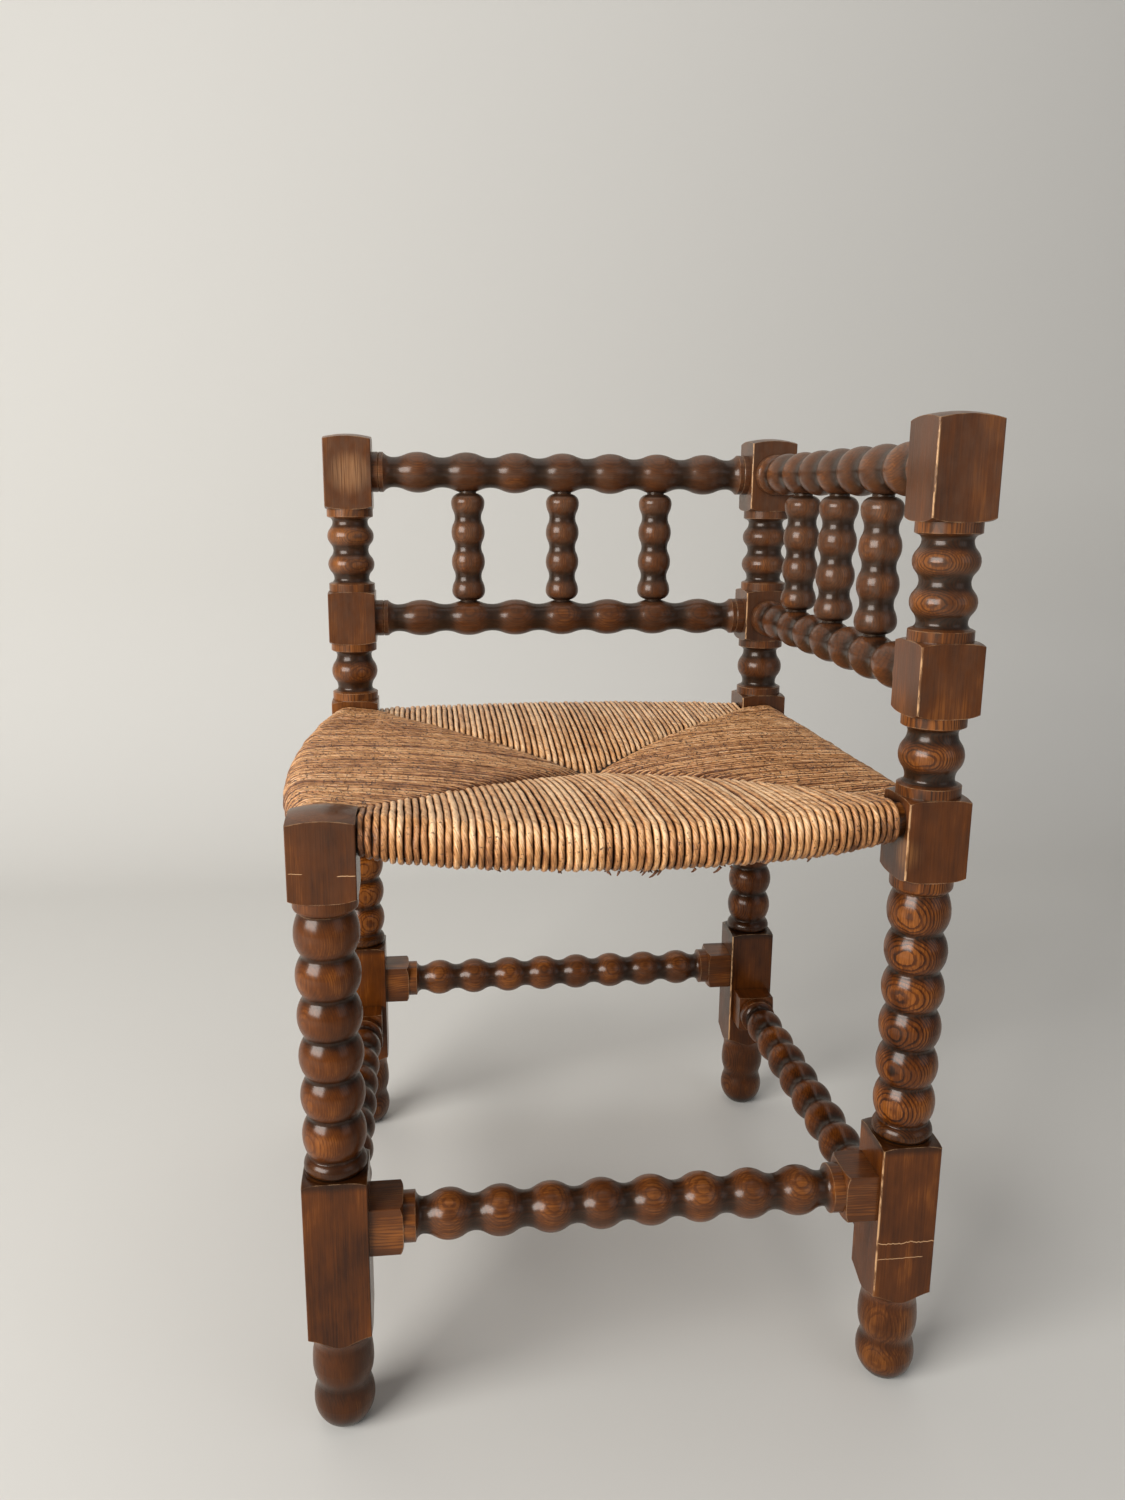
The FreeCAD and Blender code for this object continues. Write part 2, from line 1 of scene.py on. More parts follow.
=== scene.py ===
# %% [markdown]
# # A rustic corner chair with bobbin turning and a rush seat
#
# The wooden pieces of this chair are already finished shapes: posts, rails, spindles and
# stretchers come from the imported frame, each at its real size and place. What is made here is
# how they look. The wood gets a stain, growth rings and wear, and the plain closed solid that
# stands for the seat gives way to a weave of single rush cords. Lengths are metres.

# %% Load the frame
import math
import random

import bmesh
import bpy
from mathutils import Euler, Matrix, Vector, noise


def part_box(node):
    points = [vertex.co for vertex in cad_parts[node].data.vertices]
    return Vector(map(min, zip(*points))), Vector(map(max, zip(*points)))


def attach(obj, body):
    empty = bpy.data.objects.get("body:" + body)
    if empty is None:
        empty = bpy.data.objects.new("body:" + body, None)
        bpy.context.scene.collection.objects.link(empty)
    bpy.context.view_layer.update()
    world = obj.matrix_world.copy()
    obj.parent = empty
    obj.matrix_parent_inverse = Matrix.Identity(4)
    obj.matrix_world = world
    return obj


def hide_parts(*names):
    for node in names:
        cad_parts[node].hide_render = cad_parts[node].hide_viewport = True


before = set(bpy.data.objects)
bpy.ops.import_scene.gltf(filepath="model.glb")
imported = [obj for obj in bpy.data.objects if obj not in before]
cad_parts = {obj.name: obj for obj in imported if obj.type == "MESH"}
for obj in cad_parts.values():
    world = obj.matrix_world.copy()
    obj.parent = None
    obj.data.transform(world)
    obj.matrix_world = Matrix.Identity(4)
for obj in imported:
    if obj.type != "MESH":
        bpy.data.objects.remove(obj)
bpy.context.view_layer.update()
millimetre = 0.001
scene = bpy.context.scene
print("pieces in the frame:", len(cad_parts))

# %% [markdown]
# ## Where things are
#
# The four posts stand on a square. The middle of that square and the lines of the seat rails
# are read from the frame's boxes, so that every cord of the seat lands on its own rail.

# %% Read the posts and seat rails
def box_middle(node):
    low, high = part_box(node)
    return (Vector(low) + Vector(high)) / 2


def box_size(node):
    low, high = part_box(node)
    return Vector(high) - Vector(low)


post_places = {
    name: box_middle(name)
    for name in ("short_front_post", "front_right_post", "back_left_post", "corner_post")
}
seat_middle = sum(post_places.values(), Vector()) / 4
seat_middle.z = 0
post_side = box_size("corner_post").x
half_spacing = post_places["corner_post"].x - seat_middle.x
half_span = half_spacing - post_side / 2
rail_radius = box_size("back_seat_rail").z / 2
print("half spacing", round(half_spacing, 4), "rail radius", round(rail_radius, 4))

# %% [markdown]
# ## Camera
#
# The camera stands a little left of the chair's middle and looks slightly down, at the height
# of the upper rails. It is close, with the wide lens of a phone, and that makes the front
# posts look much larger than the back ones.

# %% Make the camera
camera_place = Vector((-0.12965, -0.93779, 0.67203))
camera_yaw = 0.12240
camera_pitch = -0.22096
camera_roll = -0.00721
photo_height = 1500
focal_pixels = 1147.25
sensor_long_side = 36.0

camera_data = bpy.data.cameras.new("camera")
camera_data.sensor_width = sensor_long_side
camera_data.lens = sensor_long_side * focal_pixels / photo_height
camera_data.clip_start = 0.02
camera = bpy.data.objects.new("camera", camera_data)
scene.collection.objects.link(camera)
level = Euler((math.pi / 2, 0, 0)).to_matrix()
turn = Matrix.Rotation(-camera_yaw, 3, "Z")
tilt = Matrix.Rotation(camera_pitch, 3, "X")
roll = Matrix.Rotation(-camera_roll, 3, "Z")
camera.matrix_world = Matrix.Translation(camera_place) @ (turn @ level @ tilt @ roll).to_4x4()
scene.camera = camera
print("lens", round(camera_data.lens, 2), "mm")

# %% [markdown]
# ## Node helper
#
# Every finish here is a tree of shader nodes. One small function adds a node, sets what is
# plain about it and links what comes from other nodes. It keeps the recipes below short enough
# to read as recipes.

# %% Helpers for shader nodes
def add_node(tree, kind, *inputs, **settings):
    """Adds a node. Inputs are set in order: a number or colour is a value, a socket is linked."""
    node = tree.nodes.new("ShaderNode" + kind)
    for key, value in settings.items():
        setattr(node, key, value)
    for socket, value in zip(node.inputs, inputs):
        if isinstance(value, bpy.types.NodeSocket):
            tree.links.new(value, socket)
        elif value is not None:
            socket.default_value = value
    return node.outputs[0]


def maths(tree, operation, *inputs, clamp=False):
    return add_node(tree, "Math", *inputs, operation=operation, use_clamp=clamp)


def vector_maths(tree, operation, *inputs):
    node = add_node(tree, "VectorMath", *inputs, operation=operation).node
    is_number = operation in ("LENGTH", "DOT_PRODUCT", "DISTANCE")
    return node.outputs["Value" if is_number else "Vector"]


def remap(tree, value, start, end, low=0.0, high=1.0):
    """Smooth step from low to high while the value goes from start to end."""
    return add_node(
        tree, "MapRange", value, start, end, low, high, interpolation_type="SMOOTHSTEP"
    )


def mix_colour(tree, share, under, over, blend="MIX"):
    node = tree.nodes.new("ShaderNodeMix")
    node.data_type = "RGBA"
    node.blend_type = blend
    for socket, value in zip((node.inputs[0], node.inputs[6], node.inputs[7]), (share, under, over)):
        if isinstance(value, bpy.types.NodeSocket):
            tree.links.new(value, socket)
        else:
            socket.default_value = value if isinstance(value, float) else (*value, 1.0)
    return node.outputs[2]


def stretched_noise(tree, place, scales, detail, seed=0.0):
    """Noise whose grain is stretched: one scale for each direction, per millimetre."""
    squeezed = vector_maths(tree, "MULTIPLY", place, scales)
    moved = vector_maths(tree, "ADD", squeezed, (seed * 7.3, seed * 3.1, seed * 5.7))
    return add_node(tree, "TexNoise", moved, None, 1.0, detail, 0.6)


def add_share(tree, total, value, share):
    """Total plus a share of a value. A negative share takes away."""
    return maths(tree, "MULTIPLY_ADD", value, share, total)


def ramp(tree, value, stops):
    """Colour ramp from a list of (place, colour)."""
    node = add_node(tree, "ValToRGB", value).node
    while len(node.color_ramp.elements) < len(stops):
        node.color_ramp.elements.new(0.5)
    for element, (place, colour) in zip(node.color_ramp.elements, stops):
        element.position = place
        element.color = (*colour, 1.0)
    return node.outputs[0]


# %% [markdown]
# ## The figure of the wood
#
# The chair was turned from solid wood, so its figure isn't painted on: it is the tree's growth
# rings, cut through by the lathe. An image wrapped round a bead can't show that. A solid texture
# can: distance from a line beside the piece, the pith of the tree, is cut into thin rings, and
# each bead then shows its own ovals. Fine fibres and open pores come from noise that is
# stretched along the piece.

# %% Where a point lies on its piece
# On the posts, in millimetres from the axis: the turned beads stay inside the first radius, and
# the flat faces of the blocks lie outside the second
bead_reach = 22.41
face_reach = 22.50


def separate(tree, vector):
    node = add_node(tree, "SeparateXYZ", vector).node
    return node.outputs[0], node.outputs[1], node.outputs[2]


def measure_piece(tree, middle, along):
    """Place, radius and height in millimetres, and how far a point is on a flat or an end."""
    own_place = tree.nodes.new("ShaderNodeTexCoord").outputs["Object"]
    height = maths(tree, "MULTIPLY", separate(tree, own_place)[2], 1000.0)
    centred = vector_maths(tree, "SUBTRACT", own_place, tuple(middle))
    x, y, z = separate(tree, vector_maths(tree, "MULTIPLY", centred, (1000.0,) * 3))
    across, up, length = {"Z": (x, y, z), "X": (y, z, x), "Y": (x, z, y)}[along]
    place = add_node(tree, "CombineXYZ", across, up, length)
    from_axis = vector_maths(tree, "MULTIPLY", place, (1.0, 1.0, 0.0))
    radius = vector_maths(tree, "LENGTH", from_axis)
    on_flat = remap(tree, radius, bead_reach, face_reach)
    normal = tree.nodes.new("ShaderNodeNewGeometry").outputs["Normal"]
    along_axis = maths(tree, "ABSOLUTE", separate(tree, normal)["XYZ".index(along)])
    end_face = remap(tree, along_axis, 0.80, 0.97)
    return dict(place=place, radius=radius, height=height, on_flat=on_flat,
                end_face=end_face, normal=normal, along=along)


# %% Growth rings
def growth_rings(tree, place, pith, spacing, seed):
    """Dark late wood of thin shells round the pith, which wanders along the piece."""
    slow = vector_maths(tree, "MULTIPLY", place, (0.03, 0.03, 0.012))
    slow = vector_maths(tree, "ADD", slow, (seed, seed * 2.0, seed * 3.0))
    wander = add_node(tree, "TexNoise", slow, None, 1.0, 2.0, 0.5).node.outputs["Color"]
    shift = vector_maths(tree, "SUBTRACT", wander, (0.5,) * 3)
    shift = vector_maths(tree, "MULTIPLY", shift, (8.0, 8.0, 0.0))
    from_pith = vector_maths(tree, "ADD", place, shift)
    from_pith = vector_maths(tree, "SUBTRACT", from_pith, (*pith, 0.0))
    flat = vector_maths(tree, "MULTIPLY", from_pith, (1.0, 1.0, 0.0))
    shells = maths(tree, "DIVIDE", vector_maths(tree, "LENGTH", flat), spacing)
    ring = maths(tree, "FRACT", shells)
    return maths(tree, "MULTIPLY", remap(tree, ring, 0.46, 0.84), remap(tree, ring, 1.0, 0.92))


def ring_lines(tree, stick, at, figure):
    """Ring lines as strong as this stick shows them, broken up here and there."""
    late_wood = growth_rings(tree, at["place"], stick["pith"], stick["spacing"], stick["seed"])
    strength = (stick["rings"], stick["flat_rings"])
    share = add_node(tree, "MapRange", at["on_flat"], 0.0, 1.0, *strength)
    broken = remap(tree, figure["patchy"], 0.30, 0.62, 0.35, 1.0)
    line = maths(tree, "MULTIPLY", maths(tree, "MULTIPLY", late_wood, share), broken)
    if stick["ring_start"] is not None:
        start = stick["ring_start"]
        line = maths(tree, "MULTIPLY", line, remap(tree, at["height"], start - 4.0, start, 0.3, 1.0))
    return line


# %% Fibres, pores and clouds of stain
def wood_figure(tree, place, seed):
    """Grey values that the stain, the wear and the varnish all draw on."""
    pores = stretched_noise(tree, place, (2.2, 2.2, 0.075), 3.0, seed + 1.0)
    return dict(
        fibre=stretched_noise(tree, place, (0.75, 0.75, 0.020), 6.0, seed),
        pores=remap(tree, pores, 0.56, 0.70),
        cloud=stretched_noise(tree, place, (0.035, 0.035, 0.016), 3.0, seed + 2.0),
        patchy=stretched_noise(tree, place, (0.11, 0.11, 0.06), 3.0, seed + 3.0),
    )


# %% [markdown]
# ## Stain and wear
#
# Old stain isn't one brown. It stays dark in the coves, where the turner's rag didn't reach, and
# is rubbed thin and warm on the crests. So everything is first added up into one number, the
# tone, and a colour ramp turns the tone into stain. Wear and painted light go on top: painted
# shade in the hollows, a grey film that is partly painted sheen and partly left by hands, bare
# wood along the edges. Ambient occlusion finds the hollows, and the Bevel node finds the edges,
# by how far it bends the surface there.

# %% Colours of the wood
dark_stain = (0.0080, 0.0028, 0.0011)
deep_brown = (0.033, 0.0084, 0.0014)
warm_brown = (0.096, 0.0255, 0.0028)
amber_brown = (0.340, 0.112, 0.017)
# Painted shade in the hollows and coves, with grime in the coves
shade_and_grime = (0.0050, 0.0040, 0.0030)
bare_wood = (0.600, 0.370, 0.200)
# Grey film: partly painted sheen of the pale room on the upper parts, partly film left by hands
grey_sheen_and_film = (0.100, 0.063, 0.045)
stain_ramp = [(0.0, dark_stain), (0.24, deep_brown), (0.55, warm_brown), (0.95, amber_brown)]
print("colours of stain, from dark coves to rubbed crests:", len(stain_ramp))

# %% Settings of a plain stick
# Lengths are millimetres, heights are above the floor, and shares go from 0 to 1
plain_stick = dict(
    rings=0.5,         # strength of the ring lines on turned parts
    flat_rings=0.05,   # and on flat faces
    spacing=1.25,      # wood grown in one year
    ring_start=None,   # height below which the rings are faint
    fibres=0.7,        # strength of the fine streaks
    grey=0.0,          # grey film: partly painted sheen of the pale room, partly film left by hands
    worn_corner=None,  # direction of a corner that is worn to the bare wood
    marks=(),          # scratches across the front face
    patches=(),        # spots of another colour
)


# %% Stain
def stained_colour(tree, stick, at, figure):
    """Crests are rubbed warm, coves keep the stain, and ring lines take most of it."""
    on_crest = remap(tree, at["radius"], stick["neck"] - 0.5, stick["crest"])
    rubbed = maths(tree, "MAXIMUM", on_crest, at["end_face"])
    calm = add_node(tree, "MapRange", at["on_flat"], 0.0, 1.0, stick["fibres"], 0.50)
    fibre = maths(tree, "SUBTRACT", figure["fibre"], 0.5)
    cloud = maths(tree, "SUBTRACT", figure["cloud"], 0.5)
    tone = add_share(tree, stick["warmth"] - 0.19, fibre, calm)
    tone = add_share(tree, tone, cloud, 0.95)
    tone = add_share(tree, tone, rubbed, 0.27)
    tone = add_share(tree, tone, at["on_flat"], -0.15)
    tone = add_share(tree, tone, ring_lines(tree, stick, at, figure), -0.46)
    colour = ramp(tree, tone, stain_ramp)
    return mix_colour(tree, maths(tree, "MULTIPLY", figure["pores"], 0.32), colour, dark_stain)


# %% Grey film with painted sheen, and painted shade with grime
# Heights above the floor, in millimetres: the darker band round the collars, dirt near the floor, and
# the grey film of painted sheen and hands that grows with height on the posts
leg_collar_height = 209.5
leg_block_bottom = 84.0
foot_dirt_height = 50.0
grey_film_start, grey_film_end = 300.0, 690.0


def dirty_colour(tree, stick, at, figure, colour):
    """Grey film of painted sheen and of hands, growing with height on the posts; painted shade with
    grime in the coves; a darker band round the collars; dirt near the floor.
    """
    is_upright = at["along"] == "Z"
    # Grey film: partly painted sheen of the pale room, partly film left by hands; on the posts it grows
    # with height
    if stick["grey"]:
        film = remap(tree, figure["patchy"], 0.30, 0.70, 0.5 * stick["grey"], stick["grey"])
        if is_upright:
            higher_up = remap(tree, at["height"], grey_film_start, grey_film_end)
            film = maths(tree, "MULTIPLY", film, higher_up)
        colour = mix_colour(tree, film, colour, grey_sheen_and_film)
    # Painted shade with grime: the coves, near the axis, are darkened
    cove = remap(tree, at["radius"], stick["neck"] + 2.0, stick["neck"] - 0.3, 0.0, 0.66)
    cove = maths(tree, "MULTIPLY", cove, maths(tree, "SUBTRACT", 1.0, at["end_face"]))
    colour = mix_colour(tree, cove, colour, shade_and_grime)
    if is_upright:
        above_collar = maths(tree, "SUBTRACT", at["height"], leg_collar_height)
        from_collar = maths(tree, "ABSOLUTE", above_collar)
        colour = mix_colour(tree, remap(tree, from_collar, 11.0, 5.0, 0.0, 0.72), colour, dark_stain)
        near_floor = remap(tree, at["height"], leg_block_bottom, foot_dirt_height, 0.0, 0.42)
        colour = mix_colour(tree, near_floor, colour, dark_stain)
    return colour


# %% Scratches
def scratch_marks(tree, place, marks):
    """Light lines across the front face. Each mark is height, start, end, width, waviness."""
    across, up, length = separate(tree, place)
    total = 0.0
    for height, start, end, width, waviness in marks:
        wave = stretched_noise(tree, place, (0.16, 0.0, 0.0), 3.0, height)
        wave = maths(tree, "MULTIPLY", maths(tree, "SUBTRACT", wave, 0.5), waviness * 5.0)
        above = maths(tree, "SUBTRACT", length, height)
        gap = maths(tree, "ABSOLUTE", maths(tree, "SUBTRACT", above, wave))
        line = remap(tree, gap, width, width * 0.4)
        line = maths(tree, "MULTIPLY", line, remap(tree, across, start - 0.5, start + 1.0))
        line = maths(tree, "MULTIPLY", line, remap(tree, across, end + 0.5, end - 1.0))
        line = maths(tree, "MULTIPLY", line, remap(tree, up, -21.0, -22.0))
        total = maths(tree, "MAXIMUM", total, line)
    return total


# %% Worn edges and patches
hollow_reach = 0.010
edge_radius = 0.0011


def worn_colour(tree, stick, at, figure, colour):
    """Painted shade deep in the hollows, bare wood on edges and scratches, and single patches."""
    # Painted shade deep in the hollows, found by ambient occlusion
    hollow = add_node(tree, "AmbientOcclusion", samples=8).node
    hollow.inputs["Distance"].default_value = hollow_reach
    open_air = hollow.outputs["AO"]
    colour = mix_colour(tree, remap(tree, open_air, 0.66, 0.24, 0.0, 0.92), colour, shade_and_grime)
    rounded = add_node(tree, "Bevel", edge_radius, samples=6)
    bend = vector_maths(tree, "DOT_PRODUCT", rounded, at["normal"])
    edge = maths(tree, "MULTIPLY", remap(tree, bend, 0.990, 0.90), remap(tree, open_air, 0.50, 0.75))
    edge = maths(tree, "MULTIPLY", edge, remap(tree, figure["patchy"], 0.38, 0.60, 0.05, 0.46))
    if stick["worn_corner"]:
        corner = (*stick["worn_corner"], 0.0)
        towards = vector_maths(tree, "DOT_PRODUCT", at["place"], corner)
        streak = remap(tree, towards, 43.5, 44.4)
        ragged = stretched_noise(tree, at["place"], (0.5, 0.5, 0.12), 4.0, stick["seed"] + 4.0)
        streak = maths(tree, "MULTIPLY", streak, remap(tree, ragged, 0.38, 0.56, 0.10, 0.80))
        edge = maths(tree, "MAXIMUM", edge, streak)
    if stick["marks"]:
        edge = maths(tree, "MAXIMUM", edge, scratch_marks(tree, at["place"], stick["marks"]))
    colour = mix_colour(tree, edge, colour, bare_wood)
    for centre, size, share, patch_colour in stick["patches"]:
        from_patch = vector_maths(tree, "DISTANCE", at["place"], centre)
        rub = maths(tree, "MULTIPLY", remap(tree, from_patch, size, size * 0.3), share)
        rub = maths(tree, "MULTIPLY", rub, remap(tree, figure["fibre"], 0.25, 0.7))
        colour = mix_colour(tree, rub, colour, patch_colour)
    return colour


# %% [markdown]
# ## Varnish
#
# Under the varnish the wood is satin, and the varnish itself is a thin glossy coat that is a
# little amber. The shader's coat does exactly that, so no second shader is needed. A slight
# relief of fibres and pores keeps the gloss from looking like plastic.

# %% Varnish, and the whole recipe for one piece
def add_relief(tree, shader, relief, strength, depth):
    bump = tree.nodes.new("ShaderNodeBump")
    bump.inputs["Strength"].default_value = strength
    bump.inputs["Distance"].default_value = depth
    tree.links.new(relief, bump.inputs["Height"])
    tree.links.new(bump.outputs["Normal"], shader.inputs["Normal"])


def varnish(tree, shader, figure):
    roughness = add_share(tree, 0.27, figure["patchy"], 0.22)
    tree.links.new(roughness, shader.inputs["Roughness"])
    shader.inputs["Specular IOR Level"].default_value = 0.14
    shader.inputs["Specular Tint"].default_value = (1.0, 0.62, 0.36, 1.0)
    shader.inputs["Coat Weight"].default_value = 0.46
    shader.inputs["Coat Roughness"].default_value = 0.20
    shader.inputs["Coat Tint"].default_value = (1.0, 0.90, 0.74, 1.0)
    relief = add_share(tree, maths(tree, "MULTIPLY", figure["fibre"], 0.6), figure["patchy"], 0.5)
    relief = add_share(tree, relief, figure["pores"], -0.20)
    add_relief(tree, shader, relief, strength=0.30, depth=0.0006)


def wood_finish(name, middle, along, **special):
    """Stained wood for a turned piece whose axis runs along X, Y or Z."""
    stick = {**plain_stick, **special}
    material = bpy.data.materials.new(name)
    material.use_nodes = True
    tree = material.node_tree
    shader = tree.nodes["Principled BSDF"]
    at = measure_piece(tree, middle, along)
    figure = wood_figure(tree, at["place"], stick["seed"])
    colour = stained_colour(tree, stick, at, figure)
    colour = dirty_colour(tree, stick, at, figure, colour)
    colour = worn_colour(tree, stick, at, figure, colour)
    tree.links.new(colour, shader.inputs["Base Color"])
    varnish(tree, shader, figure)
    return material


def dress(node, material):
    """Puts one material on a whole node of the frame."""
    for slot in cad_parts[node].material_slots:
        slot.material = material


# %% [markdown]
# ## Finish the turned pieces
#
# Each piece was cut from its own stick, so each gets its own pith, seed and warmth. One post
# was cut from a lively stick whose rings stand out on every bead, and the others are calm. High
# up, a grey film is partly painted sheen of the pale room and partly film left by hands. The
# corners that meet people are worn to the bare wood.

# %% Dress the posts
# A patch is the place of its centre, its size, its strength and its colour
rubbed_amber = (0.42, 0.19, 0.06)
dark_spot = (0.030, 0.020, 0.022)
old_red = (0.10, 0.035, 0.018)
faded_tan = (0.34, 0.19, 0.10)
front_left_corner = (-1.0, -1.0)

post_looks = {
    "short_front_post": dict(
        pith=(46.0, 34.0), warmth=0.46, rings=0.22, flat_rings=0.08, fibres=0.38, grey=0.5, seed=2.0,
        marks=((194.5, 10.0, 22.0, 0.34, 0.3), (196.8, -21.0, -12.0, 0.24, 0.4)),
    ),
    "front_right_post": dict(
        pith=(30.0, 33.0), warmth=0.55, rings=0.95, ring_start=203.0, fibres=0.75, grey=0.40, seed=5.0,
        worn_corner=front_left_corner,
        patches=(
            ((-22.5, -15.0, 68.0), 16.0, 0.4, rubbed_amber),
            ((-22.5, 6.0, 60.0), 15.0, 0.6, dark_spot),
            ((-22.5, -18.0, 96.0), 12.0, 0.6, old_red),
        ),
        marks=((-235.0, -22.0, 22.5, 0.42, 1.6), (-248.0, -22.0, 14.0, 0.32, 0.4)),
    ),
    "back_left_post": dict(
        pith=(-22.0, 52.0), warmth=0.62, rings=0.55, grey=0.55, seed=8.0,
        patches=(((2.0, -22.0, 326.0), 24.0, 0.75, faded_tan),),
    ),
    "corner_post": dict(
        pith=(52.0, 16.0), warmth=0.44, rings=0.55, grey=0.55, seed=11.0, worn_corner=front_left_corner,
    ),
}
for name, look in post_looks.items():
    dress(name, wood_finish(name + "_wood", post_places[name], "Z", neck=17.9, crest=22.3, **look))
print("posts dressed:", len(post_looks))

# %% Dress the rails and stretchers
# Direction, radius in the coves and on the beads, warmth and grey film
rail_looks = {
    "upper_back_rail": ("X", 14.3, 19.4, 0.40, 0.45),
    "upper_side_rail": ("Y", 14.3, 19.4, 0.46, 0.45),
    "lower_back_rail": ("X", 13.3, 17.7, 0.38, 0.35),
    "lower_side_rail": ("Y", 13.3, 17.7, 0.44, 0.30),
    "front_stretcher": ("X", 12.7, 18.0, 0.52, 0.20),
    "back_stretcher": ("X", 12.7, 18.0, 0.50, 0.20),
    "left_stretcher": ("Y", 12.7, 18.0, 0.42, 0.0),
    "right_stretcher": ("Y", 12.7, 18.0, 0.42, 0.0),
    "back_seat_rail": ("X", 10.0, 12.0, 0.80, 0.0),
    "right_seat_rail": ("Y", 10.0, 12.0, 0.80, 0.0),
    "front_seat_rail": ("X", 10.0, 12.0, 0.80, 0.0),
    "left_seat_rail": ("Y", 10.0, 12.0, 0.80, 0.0),
}
for count, (name, (along, neck, crest, warmth, grey)) in enumerate(rail_looks.items()):
    pith = (24.0 + 5.0 * (count % 3), -34.0 + 9.0 * (count % 4))
    look = dict(pith=pith, warmth=warmth, grey=grey, neck=neck, crest=crest, seed=20.0 + 3.0 * count)
    dress(name, wood_finish(name + "_wood", box_middle(name), along, rings=0.35, **look))
print("rails and stretchers dressed:", len(rail_looks))

# %% Dress the spindles
spindle_look = dict(warmth=0.44, rings=0.4, grey=0.60, neck=13.0, crest=16.4)
spindle_names = [f"{wall}_spindle_{number}" for wall in ("back", "side") for number in (1, 2, 3)]
for count, name in enumerate(spindle_names):
    pith = (20.0 + 7.0 * (count % 3), 26.0 - 8.0 * (count % 2))
    look = dict(spindle_look, pith=pith, seed=60.0 + 3.0 * count)
    dress(name, wood_finish(name + "_wood", box_middle(name), "Z", **look))
print("wood finishes:", len(bpy.data.materials))

# %% [markdown]
# ## How a rush seat is woven
#
# Rush leaves are twisted into one long cord. The weaver takes it over the front rail next to a
# post, back up, over the side rail, and so on round the four corners until the frame is full.
# On top, each cord runs straight in from its rail and dives where it meets the cords of the
# next side. Those meeting places line up as the two diagonals of the seat. Here each side is a
# set of curves that follow that path: in from the diagonal, over the rail, and back below.

# %% Measures of the weave
cord_radius = 2.62 * millimetre
cords_per_side = 71
seat_dip = 20.7 * millimetre           # how far the middle lies below the back rail's cords
seat_centre_depth = 16.5 * millimetre  # thickness of the whole seat in its middle
crown_rise = 8.0 * millimetre          # swell of the upper layer over its stuffing
belly_drop = 3.5 * millimetre          # and of the lower layer
mitre_dive = 4.5 * millimetre          # how far a cord dives where it meets the next side


# %% The four sides
class Side:
    """One side of the seat, described as if it were the front: cords run along Y.

    Overlap is how far its cords reach past the diagonal, and drift how far the middle ones lean
    sideways there. An arched side is fuller in its middle. A settled side has cords that lie
    flatter at one end: 1 for the right end, -1 for the left. End gap is how much of the rail
    stays bare at its right end.
    """

    def __init__(self, name, node, quarter_turns, overlap, drift, arch=0.0, settled=0.0, end_gap=0.0):
        self.name = name
        self.arch = arch * millimetre
        self.settled = settled
        self.end_gap = end_gap * millimetre
        self.turn = Matrix.Rotation(quarter_turns * math.pi / 2, 3, "Z")
        self.overlap = overlap * millimetre
        self.drift = drift * millimetre
        low, high = (Vector(corner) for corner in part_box(node))
        outward = self.turn @ Vector((0, -1, 0))
        reaches = [(corner - seat_middle).dot(outward) for corner in (low, high)]
        self.bow = max(reaches) - min(reaches) - 2 * rail_radius
        self.out = max(reaches) - rail_radius - self.bow
        self.sag = high.z - low.z - 2 * rail_radius
        self.height = high.z - rail_radius

    def rail(self, x):
        """Distance out and height of the rail's axis under the cord at x."""
        share = 1 - min(1.0, (x / half_span) ** 2)
        return self.out + self.bow * share, self.height - self.sag * share

    def wrap(self, x, inset):
        """Height and radius of the turn over the rail."""
        rail_height = self.rail(x)[1]
        share = 1 - min(1.0, (x / half_span) ** 2)
        towards_end = max(0.0, x * self.settled / half_span - 0.78) / 0.22
        radius = rail_radius + inset * (1 - 0.9 * towards_end) + 0.4 * self.arch * share
        return rail_height + 0.6 * self.arch * share, radius

    def place(self, x, out, z):
        """Point of the real seat for a point of the side."""
        spot = self.turn @ Vector((x, -out, 0)) + seat_middle
        spot.z = z
        return spot


sides = [
    Side("front", "front_seat_rail", 0, overlap=4.5, drift=-5.0, settled=1.0, end_gap=5.0),
    Side("right", "right_seat_rail", 1, overlap=0.5, drift=0.0),
    Side("back", "back_seat_rail", 2, overlap=3.0, drift=0.0, arch=4.0),
    Side("left", "left_seat_rail", 3, overlap=0.5, drift=9.0, settled=-1.0),
]
centre_top = sides[2].height + rail_radius + 2 * cord_radius - seat_dip
centre_bottom = centre_top - seat_centre_depth
for side in sides:
    print(side.name, "rail out %.4f, bow %.4f, height %.4f" % (side.out, side.bow, side.height))


# %% Path of one cord
def layer_height(side, x, out, is_top, inset):
    """Height of the upper or lower layer at a distance from the seat's middle."""
    rail_out = side.rail(x)[0]
    share = min(out / rail_out, 1.0)
    swell = 4 * share * (1 - share) * (1 - (x / half_span) ** 2)
    wrap_height, wrap_radius = side.wrap(x, inset)
    if is_top:
        at_rail = wrap_height + wrap_radius
        at_centre = centre_top - 2 * cord_radius + inset
        return at_centre + (at_rail - at_centre) * share + crown_rise * swell
    at_rail = wrap_height - wrap_radius
    at_centre = centre_bottom + 2 * cord_radius - inset
    return at_centre + (at_rail - at_centre) * share - belly_drop * swell


